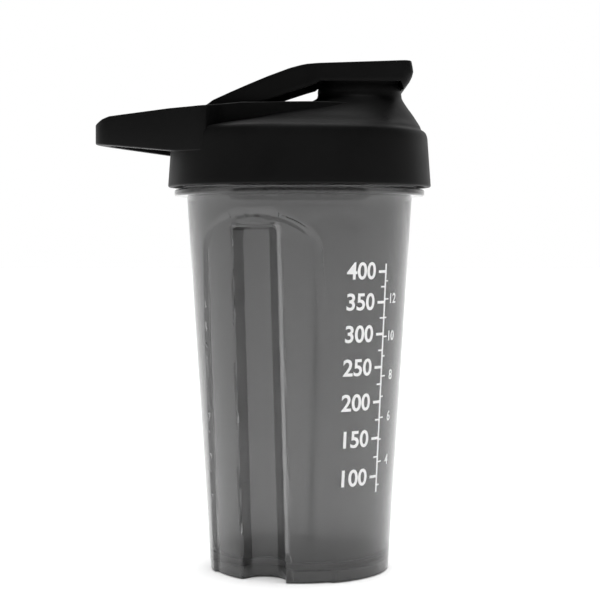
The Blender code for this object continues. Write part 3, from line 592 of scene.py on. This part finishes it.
def makeLidShell():
    turn = np.linspace(-np.pi, np.pi, lid["columns"], endpoint=False)
    rings = []          # centre x, radius, height, thread depth

    def addRings(rows):
        rings.extend([(c, r, z, 0.0) for c, r, z in rows])

    s = lid["spoutX"]
    lip = roundedCorner((lid["spoutRadius"] - 0.8 * mm, lid["spoutTop"] - 0.8 * mm), 0.8 * mm, 95, 0, 7)
    addRings([(s, lid["spoutBore"] + 0.9 * mm, lid["spoutTop"] - 0.05 * mm)])
    addRings([(s, r, z) for r, z in lip])
    addRings([(s, lid["spoutRadius"], z * mm) for z in (186.8, 186.0, 185.3)])
    outer = dome[::-1]
    addRings(np.column_stack([(outer[:, 1] + outer[:, 2]) / 2,
                              (outer[:, 2] - outer[:, 1]) / 2, outer[:, 0]]))
    shoulder = smoothCurve(
        np.array([(47.6, 167.0), (48.35, 166.3), (48.85, 165.2), (49.1, 164.0)]) * mm, 4)
    addRings([(0, r, z) for r, z in shoulder])
    skirtZ = np.linspace(lid["skirtTop"] - 2 * mm, lid["skirtBottom"] + 0.8 * mm, 9)
    skirtR = np.interp(skirtZ, [lid["skirtBottom"], lid["skirtTop"]],
                       [lid["skirtRadius"], lid["skirtTopRadius"]])
    addRings([(0, r, z) for r, z in zip(skirtR, skirtZ)])
    addRings([(0, r, z) for r, z in roundedCorner(
        (lid["skirtRadius"] - 0.65 * mm, lid["skirtBottom"] + 0.6 * mm), 0.6 * mm, -10, -90, 5)])
    addRings([(0, 48.2 * mm, lid["skirtBottom"]), (0, 47.8 * mm, lid["skirtBottom"] + 0.4 * mm)])
    boreZ = np.linspace(147 * mm, 161.6 * mm, 44)
    boreR = np.interp(boreZ, [146 * mm, 152 * mm], [47.75 * mm, lid["bore"]])
    rings.extend([(0, r, z, 1.0) for r, z in zip(boreR, boreZ)])
    addRings([(0, lid["bore"] - 0.2 * mm, lid["ceiling"] - 0.15 * mm),
              (0, lid["bore"] - 0.8 * mm, lid["ceiling"]), (0, 44 * mm, lid["ceiling"]),
              (0, lid["ceilingInner"], lid["ceiling"])])
    inside = dome[(dome[:, 0] > 168.4 * mm) & (dome[:, 0] < 179.5 * mm)]
    addRings([(0, lid["ceilingInner"] - 0.3 * mm, lid["ceiling"] + 0.4 * mm),
              (0.6 * mm, lid["ceilingInner"] - 1.2 * mm, 164.6 * mm)])
    innerX = (inside[:, 1] + inside[:, 2]) / 2
    innerR = (inside[:, 2] - inside[:, 1]) / 2 - 1.7 * mm
    addRings(np.column_stack([innerX, innerR, inside[:, 0] - lid["domeWall"]]))
    lastX, lastR = innerX[-1], innerR[-1]
    addRings([(s + (lastX - s) * 0.5, lid["spoutBore"] + (lastR - lid["spoutBore"]) * 0.5, 178.0 * mm),
              (s, lid["spoutBore"] + 0.2 * mm, 178.6 * mm)])
    addRings([(s, lid["spoutBore"], z * mm) for z in (179.5, 182.5, 185.5, 187.2)])
    addRings([(s, lid["spoutBore"] + 0.35 * mm, 187.85 * mm)])
    ring = np.array(rings)
    radius = np.repeat(ring[:, 1:2], len(turn), 1)
    ridge = threadHeight(turn, ring[:, 2], thread["cupStart"] + thread["pitch"] / 2,
                         lid["bore"] - cup["neckRadius"] - 0.5 * mm)
    radius = radius - ridge * ring[:, 3:4]
    rows = np.stack([ring[:, :1] + radius * np.cos(turn), radius * np.sin(turn),
                     np.repeat(ring[:, 2:3], len(turn), 1)], -1)
    return ringsToPart(rows, wrapRows=True)


# inside hiddenRadius the loop's bottom hides in the lid's wall; past clearRadius it is in the open
loop = dict(edge=0.5 * mm, hiddenRadius=45.5 * mm, hiddenZ=164.0 * mm, sink=1.2 * mm,
            clearRadius=47.6 * mm, clearOver=1.6 * mm)
# the near leg's two faces in plan, from inside the slope beside the spout to the tip, as x and y
loopOuter = [(18.0, 21.5), (11.0, 24.2), (4.0, 24.3), (-8.0, 22.0), (-16.0, 22.2), (-21.2, 23.5),
             (-27.9, 26.5), (-32.4, 32.5), (-35.0, 34.5), (-42.0, 30.2), (-52.0, 24.0), (-62.0, 17.8),
             (-70.0, 12.8), (-75.0, 8.8), (-77.6, 4.5), (-78.2, 0.0)]
loopInner = [(18.0, 16.5), (11.0, 19.2), (4.0, 19.3), (-8.0, 17.2), (-16.5, 17.3), (-22.5, 18.6),
             (-29.0, 22.2), (-33.5, 25.6), (-36.5, 26.8), (-41.0, 25.2), (-50.0, 19.4), (-59.5, 13.5),
             (-67.0, 8.8), (-71.0, 5.8), (-72.7, 3.0), (-73.2, 0.0)]
# its top and under edges from the side, as x and z
loopTop = np.array([(-78.2, 169.6), (-74.8, 171.5), (-72.0, 172.4), (-48.0, 174.2), (-34.4, 174.7),
                    (-27.9, 175.9), (-21.2, 176.8), (-7.0, 177.1), (18.0, 176.8)]) * mm
loopUnder = np.array([(-78.2, 162.2), (-45.6, 158.4), (-40.0, 158.3)]) * mm


def makeLoop():
    # a rounded rectangle between the plan's outer and inner faces; its top and bottom follow the
    # side view, and where it crosses the lid its bottom hides inside the lid's wall
    faces = []
    for points in (loopOuter, loopInner):
        near = np.array(points) * mm
        faces.append(smoothCurve(np.vstack([near, near[-2::-1] * [1, -1]]), 9))
    outer, inner = faces
    width = np.linalg.norm(inner - outer, axis=1)[:, None]
    edge = loop["edge"]
    corner = np.radians(np.linspace(0, 90, 6))
    # how far in from the nearer face, and how far from the top or bottom, round both corners
    inset = np.concatenate([edge - edge * np.sin(corner[::-1]), edge - edge * np.sin(corner)])
    drop = np.concatenate([edge - edge * np.cos(corner[::-1]), edge - edge * np.cos(corner)])
    fromInner = np.repeat([0.0, 1.0], len(corner))
    inset = np.concatenate([inset, inset[::-1]])
    drop = np.concatenate([drop, drop[::-1]])
    fromInner = np.concatenate([fromInner, fromInner[::-1]])
    isTop = np.repeat([1.0, 0.0], 2 * len(corner))
    across = np.where(fromInner > 0, width - inset, inset) / width
    x = outer[:, :1] + (inner[:, :1] - outer[:, :1]) * across
    y = outer[:, 1:] + (inner[:, 1:] - outer[:, 1:]) * across
    highest = np.interp(x, loopTop[:, 0], loopTop[:, 1])
    out = np.hypot(x, y)
    under = np.interp(x, loopUnder[:, 0], loopUnder[:, 1])
    inLid = domeHeight(np.clip(x, -46, 60).ravel(), y.ravel()).reshape(x.shape) - loop["sink"]
    hidden = np.where(out < loop["hiddenRadius"], np.minimum(inLid, highest - 1 * mm), loop["hiddenZ"])
    share = smoothStep((out - loop["clearRadius"]) / loop["clearOver"])
    lowest = hidden * (1 - share) + under * share
    z = np.where(isTop > 0, highest - drop, lowest + drop)
    rows = np.stack([x, y, z], -1)
    return ringsToPart(rows)


lugs = dict(pinX=-37.5 * mm, pinZ=172.3 * mm, radius=3.1 * mm, foot=165.6 * mm)
# across an ear, from its inner face to its outer: y, and how far in its outline stands, in mm
lugRows = ((16.0, 0.7), (16.12, 0.3), (16.5, 0.0), (19.0, 0.0), (19.38, 0.3), (19.5, 0.7))


def makeLugs():
    # two upright ears for the pin: a rounded outline with softened edges, carried across their width
    parts = []
    pinX, pinZ, radius = lugs["pinX"], lugs["pinZ"], lugs["radius"]
    outline = np.vstack([roundedCorner((pinX, pinZ), radius, 0, 180, 25),
                         [(pinX - radius, 168.4 * mm), (pinX - radius, lugs["foot"])],
                         [(pinX + radius + 3 * mm, lugs["foot"]), (pinX + radius + 2 * mm, 168.6 * mm),
                          (pinX + radius + 0.4 * mm, 170.4 * mm)]])
    middle = outline.mean(0)
    for side in (-1, 1):
        rows = []
        for y, inset in lugRows:
            away = outline - middle
            ring = middle + away * (1 - inset * mm / np.linalg.norm(away, axis=1)[:, None])
            rows.append(np.column_stack([ring[:, 0], np.full(len(ring), side * y * mm), ring[:, 1]]))
        parts.append(ringsToPart(np.array(rows)))
    return parts


def makeCollar():
    # the plain tube under the lid that the strainer clips into, with a small snap bead inside
    profile = np.array([(32.0, 168.0), (32.0, 152.6), (31.7, 152.1), (31.0, 152.0), (30.7, 152.3),
                        (30.55, 152.9), (30.42, 153.6), (30.42, 168.0)]) * mm
    return turnedPart(profile, 128, wrapRows=True)


def makeLid():
    parts = [makeLidShell(), makeLoop()] + makeLugs() + [makeCollar()]
    mesh = meshFromParts("lidShell", parts, 38)
    return addPiece("lidShell", mesh, lidPlastic, "lid", ["lid"])


makeLid()
print("lid made")


# flip cap, plug and pin

flip = dict(
    pinX=lugs["pinX"], pinZ=lugs["pinZ"], barrel=3.0 * mm, armHalf=15.2 * mm, hoodHalf=17.2 * mm,
    front=42.9 * mm, frontCorner=4.5 * mm, edge=0.4 * mm, wall=1.4 * mm, plate=2.0 * mm,
    edgeZ=185.1 * mm, beakZ=182.8 * mm, hoodFrom=6.3 * mm, lipFrom=38.5 * mm, rimSoft=0.35 * mm,
    barrelTo=-38.6 * mm, slopeFrom=-34.9 * mm, roomBack=-31.0 * mm, innerLean=-2.2 * mm)
armTop = np.array([(-34.9, 176.4), (-32.5, 178.2), (-25.9, 181.2), (-19.0, 184.2), (-11.75, 187.2),
                   (-3.6, 190.2), (0.5, 191.3), (2.8, 191.75), (42.1, 193.0), (42.9, 193.0)]) * mm
armLow = np.array([(-37.5, 169.3), (-34.5, 170.6), (-22.0, 174.9), (-3.2, 181.2), (6.4, 184.3)]) * mm
# how far the hood's front stands back of its foremost point, by height
hoodLean = np.array([(182.6, -3.2), (186.0, -0.8), (189.1, 0.0), (192.8, -0.75)]) * mm


def capTop(x):
    # barrel's circle at the hinge, then the arm's slope, then the hood's nearly level plate
    circle = flip["pinZ"] + np.sqrt(np.clip(flip["barrel"] ** 2 - (x - flip["pinX"]) ** 2, 0, None))
    tangent = np.interp(x, [-38.7 * mm, flip["slopeFrom"]], [175.05 * mm, 176.4 * mm])
    slope = np.interp(x, armTop[:, 0], armTop[:, 1])
    return np.where(x < flip["barrelTo"], circle, np.where(x < flip["slopeFrom"], tangent, slope))


def capLow(x):
    # underside edge: barrel, arm, then a step up to the hood's edge and down again at the lip
    circle = flip["pinZ"] - np.sqrt(np.clip(flip["barrel"] ** 2 - (x - flip["pinX"]) ** 2, 0, None))
    arm = np.interp(x, armLow[:, 0], armLow[:, 1])
    step = smoothStep((x - flip["hoodFrom"]) / (0.9 * mm))
    lip = smoothStep((x - flip["lipFrom"]) / (4 * mm))
    hood = flip["edgeZ"] * (1 - lip) + flip["beakZ"] * lip
    low = arm * (1 - step) + hood * step
    return np.where(x < flip["pinX"], circle, low)


def capPlan(inset, steps=64):
    # mirrored plan outline: arm, swelling into the hood, rounded front corners
    arm, hood = flip["armHalf"] - inset, flip["hoodHalf"] - inset
    front, corner = flip["front"] - inset, max(flip["frontCorner"] - inset, 0.6 * mm)
    back = flip["pinX"] - flip["barrel"] + inset
    backEdge = [(back, arm * k) for k in (0.02, 0.25, 0.5, 0.75, 0.93, 1.0)]
    side = [(x, arm) for x in np.linspace(back + 0.5 * mm, 1.5 * mm, steps)]
    swell = [(x, arm + (hood - arm) * float(smoothStep((x - 2 * mm) / (6 * mm))))
             for x in np.linspace(2 * mm, 8 * mm, 14)]
    straight = [(x, hood) for x in np.linspace(9 * mm, front - corner - 0.6 * mm, 22)]
    turnIn = [tuple(p) for p in roundedCorner((front - corner, hood - corner), corner, 90, 0, 12)]
    frontEdge = [(front, (hood - corner) * k) for k in (0.9, 0.7, 0.45, 0.22, 0.02)]
    half = np.array(backEdge + side + swell + straight + turnIn + frontEdge)
    return np.vstack([half, half[::-1] * [1, -1]])


def makeFlipCap():
    # nested outlines: over the top plate, round its edge, down the sides, under and up inside
    rows = []

    def addRow(plan, z, leanMost=-5 * mm):
        # the front leans: slightly out to its middle, then in towards the spout below, and no
        # further back than leanMost
        x = plan[:, 0]
        lean = np.maximum(np.interp(z, hoodLean[:, 0], hoodLean[:, 1]), leanMost)
        weight = smoothStep((x - 30 * mm) / (13 * mm))
        rows.append(np.column_stack([x + lean * weight, plan[:, 1], z]))

    for inset in (14.5, 12, 9, 6, 3.5, 2.0, 1.2):          # millimetres in from the outline
        plan = capPlan(inset * mm)
        addRow(plan, capTop(plan[:, 0]))
    for angle in (90, 68, 45, 22, 0):
        a = math.radians(angle)
        plan = capPlan(flip["edge"] * (1 - math.cos(a)))
        top, low = capTop(plan[:, 0]), capLow(plan[:, 0])
        drop = np.minimum(flip["edge"], (top - low) / 2) * (1 - math.sin(a))
        addRow(plan, top - drop)
    outline = capPlan(0.0)
    top, low = capTop(outline[:, 0]), capLow(outline[:, 0])
    soft = np.minimum(flip["rimSoft"], (top - low) / 2)
    startZ = top - np.minimum(flip["edge"], (top - low) / 2)
    for share in (0.2, 0.4, 0.6, 0.8, 1.0):
        addRow(outline, startZ + (low + soft - startZ) * share)
    for angle in (45, 90):
        a = math.radians(angle)
        plan = capPlan(flip["rimSoft"] * (1 - math.cos(a)))
        addRow(plan, capLow(outline[:, 0]) + soft * (1 - math.sin(a)))

    def roomPlan(inset):
        plan = capPlan(inset).copy()
        plan[:, 0] = np.maximum(plan[:, 0], flip["roomBack"] + inset - flip["wall"])
        return plan

    inner = roomPlan(flip["wall"] - 0.3 * mm)
    lowInner = capLow(inner[:, 0])
    addRow(inner, lowInner, flip["innerLean"])
    inner = roomPlan(flip["wall"])
    topInner = capTop(inner[:, 0]) - flip["plate"]
    for share in (0.05, 0.35, 0.7, 0.92):
        addRow(inner, lowInner + (np.maximum(topInner, lowInner + 0.3 * mm) - lowInner) * share,
               flip["innerLean"])
    for inset in (1.9, 3.0, 5.0, 8.0, 11.0, 13.0):
        plan = roomPlan(inset * mm)
        addRow(plan, capTop(plan[:, 0]) - flip["plate"])
    part = ringsToPart(np.array(rows), close="zip")
    seat = np.array([(0.4, 191.4), (14.0, 191.4), (14.0, 189.7), (13.8, 189.5), (0.4, 189.5)]) * mm
    seat = turnedPart(seat, 96, lid["spoutX"])
    mesh = meshFromParts("flipCapShell", [part, seat], 35)
    return addPiece("flipCapShell", mesh, lidPlastic, "flip_cap", ["flip_cap"])


def makePlug():
    # soft stopper: a flange, two sealing ribs and a hollowed end
    profile = np.array([
        (0.3, 189.2), (13.4, 189.2), (13.7, 189.0), (13.7, 188.75), (13.4, 188.52), (12.3, 188.5),
        (12.0, 188.2), (12.05, 187.7), (11.8, 187.3), (11.55, 186.9), (11.65, 186.4), (11.4, 186.0),
        (11.1, 185.5), (10.6, 184.8), (10.0, 184.5), (8.8, 184.5), (8.2, 184.8), (7.6, 186.3),
        (6.8, 186.8), (0.3, 186.9)]) * mm
    mesh = meshFromParts("spoutStopper", [turnedPart(profile, 96, lid["spoutX"])], 30)
    return addPiece("spoutStopper", mesh, plugRubber, "flip_cap", ["spout_plug"])


def makePin():
    # a drawn wire pin along Y with rounded ends
    profile = [(0.1, -19.0), (0.9, -19.0), (1.25, -18.85), (1.45, -18.6), (1.5, -18.3),
               (1.5, -9), (1.5, 0), (1.5, 9),
               (1.5, 18.3), (1.45, 18.6), (1.25, 18.85), (0.9, 19.0), (0.1, 19.0)]
    verts, quads, tris = turnedPart(np.array(profile) * mm, 40)
    verts = np.column_stack([verts[:, 0] + flip["pinX"], verts[:, 2], -verts[:, 1] + flip["pinZ"]])
    mesh = meshFromParts("hingeWire", [(verts, quads, tris)], 40)
    return addPiece("hingeWire", mesh, pinSteel, "lid", ["hinge_pin"])


makeFlipCap()
makePlug()
makePin()
print("flip cap, plug and pin made")


# gasket and strainer

def makeGasket():
    # a flat ring with a raised bead on its sealing face
    profile = np.array([
        (46.7, 161.7), (46.7, 160.6), (46.4, 160.32), (45.2, 160.45), (44.4, 160.3), (43.6, 160.45),
        (42.7, 160.32), (42.4, 160.6), (42.4, 161.7), (42.7, 162.0), (46.4, 162.0)]) * mm
    mesh = meshFromParts("sealRing", [turnedPart(profile, 160, wrapRows=True)], 40)
    return addPiece("sealRing", mesh, gasketSilicone, "seal", ["lid_gasket"])


strainer = dict(ribs=24, ribHalf=1.1 * mm, ribLow=141.2 * mm, ribHigh=151.4 * mm,
                ribLowRadii=(26.3 * mm, 24.9 * mm), ribHighRadii=(29.95 * mm, 28.5 * mm),
                rayHalf=0.9 * mm, rayStart=10.8 * mm, rayLength=13.0 * mm, rayLow=139.6 * mm,
                rayHeight=1.4 * mm)


def straightBar(start, end, steps=6):
    # a bar lofted in a straight line between two rectangles of four corners each
    first, last = np.array(start), np.array(end)
    share = np.linspace(0, 1, steps)[:, None, None]
    return ringsToPart(first + (last - first) * share)


def ribSection(out, side, radii, z):
    # a rib's level rectangle between two radii, its corners in order round it
    up = np.array([0, 0, z])
    corners = zip((radii[0], radii[0], radii[1], radii[1]), (-1, 1, 1, -1))
    return [out * r + side * sign * strainer["ribHalf"] + up for r, sign in corners]


def makeStrainer():
    parts = []
    rim = np.array([(30.1, 159.2), (30.1, 151.6), (29.9, 151.0), (28.5, 150.6), (28.2, 151.0),
                    (28.2, 159.2), (28.5, 159.5), (29.8, 159.5)]) * mm
    parts.append(turnedPart(rim, 144, wrapRows=True))
    base = np.array([(26.35, 141.9), (26.4, 141.0), (26.2, 139.9), (25.8, 139.55), (23.4, 139.5),
                     (23.0, 139.8), (23.0, 140.8), (23.4, 141.1), (24.6, 141.2), (24.9, 141.9)]) * mm
    parts.append(turnedPart(base, 144, wrapRows=True))
    hub = np.array([(0.3, 148.0), (8.4, 148.0), (9.0, 147.7), (9.1, 147.2), (6.9, 141.3), (11.5, 141.1),
                    (11.8, 140.8), (11.8, 139.8), (11.5, 139.5), (0.3, 139.5)]) * mm
    parts.append(turnedPart(hub, 96))
    ring = np.array([(18.2, 140.9), (18.2, 139.7), (18.0, 139.5), (16.8, 139.5), (16.6, 139.7),
                     (16.6, 140.9), (16.8, 141.1), (18.0, 141.1)]) * mm
    parts.append(turnedPart(ring, 120, wrapRows=True))
    # upright ribs between floor and rim, and a flat ray on the floor at every second one
    for i in range(strainer["ribs"]):
        a = 2 * math.pi * i / strainer["ribs"]
        out, side = np.array([math.cos(a), math.sin(a), 0]), np.array([-math.sin(a), math.cos(a), 0])
        parts.append(straightBar(ribSection(out, side, strainer["ribLowRadii"], strainer["ribLow"]),
                                 ribSection(out, side, strainer["ribHighRadii"], strainer["ribHigh"])))
        if i % 2 == 0:
            near = [out * strainer["rayStart"] + side * sign * strainer["rayHalf"]
                    + np.array([0, 0, strainer["rayLow"]]) for sign in (-1, 1)]
            near += [p + np.array([0, 0, strainer["rayHeight"]]) for p in near[::-1]]
            parts.append(straightBar(near, [p + out * strainer["rayLength"] for p in near]))
    mesh = meshFromParts("strainerBasket", parts, 35)
    return addPiece("strainerBasket", mesh, strainerPlastic, "strainer",
                    ["mixing_strainer"])


makeGasket()
makeStrainer()
print("gasket and strainer made")


# printed scale

scale = dict(turn=math.radians(-47.5), low=32 * mm, high=117 * mm, bigSize=8.6 * mm, smallSize=5.2 * mm,
             bolder=0.16 * mm, lift=0.03 * mm, ink=0.08 * mm)


def flatMesh(name, curve):
    holder = bpy.data.objects.new(name, curve)
    bpy.context.scene.collection.objects.link(holder)
    bpy.context.view_layer.update()
    mesh = bpy.data.meshes.new_from_object(holder.evaluated_get(bpy.context.evaluated_depsgraph_get()))
    bpy.data.objects.remove(holder, do_unlink=True)
    return mesh


def flatText(text, size, x, y, bolder=0.0):
    curve = bpy.data.curves.new("figure", "FONT")
    curve.body = text
    curve.size = size
    curve.align_x = "RIGHT"
    curve.align_y = "CENTER"
    curve.extrude = 0.5
    curve.offset = bolder
    mesh = flatMesh("figure", curve)
    verts = np.empty(len(mesh.vertices) * 3, np.float32)
    mesh.vertices.foreach_get("co", verts)
    verts = verts.reshape(-1, 3) + np.array([x, y, 0], np.float32)
    mesh.vertices.foreach_set("co", verts.ravel())
    return mesh


def flatBars(bars):
    # each (x0, y0, x1, y1) becomes a flat box, 1 thick
    b = np.asarray(bars, float)
    x = b[:, [0, 2, 2, 0, 0, 2, 2, 0]]
    y = b[:, [1, 1, 3, 3, 1, 1, 3, 3]]
    z = np.repeat([[-0.5] * 4 + [0.5] * 4], len(b), 0)
    sides = np.array([[3, 2, 1, 0], [4, 5, 6, 7], [0, 1, 5, 4],
                      [1, 2, 6, 5], [2, 3, 7, 6], [3, 0, 4, 7]])
    faces = (sides[None] + 8 * np.arange(len(b))[:, None, None]).reshape(-1, 4)
    mesh = bpy.data.meshes.new("bars")
    mesh.from_pydata(np.stack([x, y, z], -1).reshape(-1, 3).tolist(), [], faces.tolist())
    return mesh


def wrapOnCup(name, meshes, centerTurn, radiusAt, lift, thickness):
    # flat art (x along the arc, y up, z its thickness from -0.5 to 0.5) is sliced into narrow
    # strips and wrapped on the cone
    whole = bmesh.new()
    for mesh in meshes:
        whole.from_mesh(mesh)
    bmesh.ops.remove_doubles(whole, verts=whole.verts, dist=1e-7)
    reach = max(abs(v.co.x) for v in whole.verts)
    for x in np.arange(-reach, reach, 0.8 * mm):
        bmesh.ops.bisect_plane(whole, geom=whole.verts[:] + whole.edges[:] + whole.faces[:],
                               plane_co=(x, 0, 0), plane_no=(1, 0, 0), dist=1e-7)
    bmesh.ops.triangulate(whole, faces=whole.faces)
    mesh = bpy.data.meshes.new(name)
    whole.to_mesh(mesh)
    whole.free()
    flat = np.empty(len(mesh.vertices) * 3)
    mesh.vertices.foreach_get("co", flat)
    flat = flat.reshape(-1, 3)
    base = radiusAt(flat[:, 1])
    turn = centerTurn + flat[:, 0] / base
    radius = base + lift + (flat[:, 2] + 0.5) * thickness
    verts = np.column_stack([axisX + radius * np.cos(turn), radius * np.sin(turn), flat[:, 1]])
    mesh.vertices.foreach_set("co", verts.ravel().astype(np.float32))
    mesh.update()
    mesh.validate()
    return mesh


def fillHeights(step, most):
    # heights at which the cup holds each multiple of step, in millilitres
    turn = np.linspace(0, 2 * np.pi, 720, endpoint=False)
    z = np.linspace(cup["floorTop"], 130 * mm, 400)
    area = (cupRadius(turn, z, cup["wall"]) ** 2).mean(1) * np.pi
    volume = np.concatenate([[0], np.cumsum((area[1:] + area[:-1]) / 2 * np.diff(z))]) * 1e6
    marks = np.arange(step, most + 1, step)
    return marks, np.interp(marks, volume, z)


def makePrintedScale():
    # millilitres in bold figures, a ruled line with ticks, and ounces in small figures beside it
    marks, heights = fillHeights(25, 500)
    meshes, bars = [], []
    for mark, z in zip(marks, heights):
        if not scale["low"] <= z <= scale["high"]:
            continue
        if mark % 50 == 0:
            meshes.append(flatText(str(mark), scale["bigSize"], 0.0, z, scale["bolder"]))
            bars.append((1.6 * mm, z - 0.5 * mm, 5.2 * mm, z + 0.5 * mm))
        else:
            bars.append((3.2 * mm, z - 0.3 * mm, 5.2 * mm, z + 0.3 * mm))
    bars.append((5.2 * mm, scale["low"], 6.0 * mm, scale["high"]))
    ounce = 29.57          # millilitres
    heightsOz = fillHeights(ounce, 17 * ounce)[1]
    for i, z in enumerate(heightsOz, start=1):
        if not scale["low"] <= z <= scale["high"]:
            continue
        bars.append((6.0 * mm, z - 0.25 * mm, (8.0 if i % 2 == 0 else 7.2) * mm, z + 0.25 * mm))
        if i % 2 == 0:
            meshes.append(flatText(str(i), scale["smallSize"], 13.4 * mm, z, 0.08 * mm))
    meshes.append(flatBars(bars))
    mesh = wrapOnCup("printedScale", meshes, scale["turn"],
                     lambda z: cup["baseRadius"] + cup["taper"] * z, scale["lift"], scale["ink"])
    return addPiece("printedScale", mesh, ink, "cup")


makePrintedScale()
print("printed scale made")
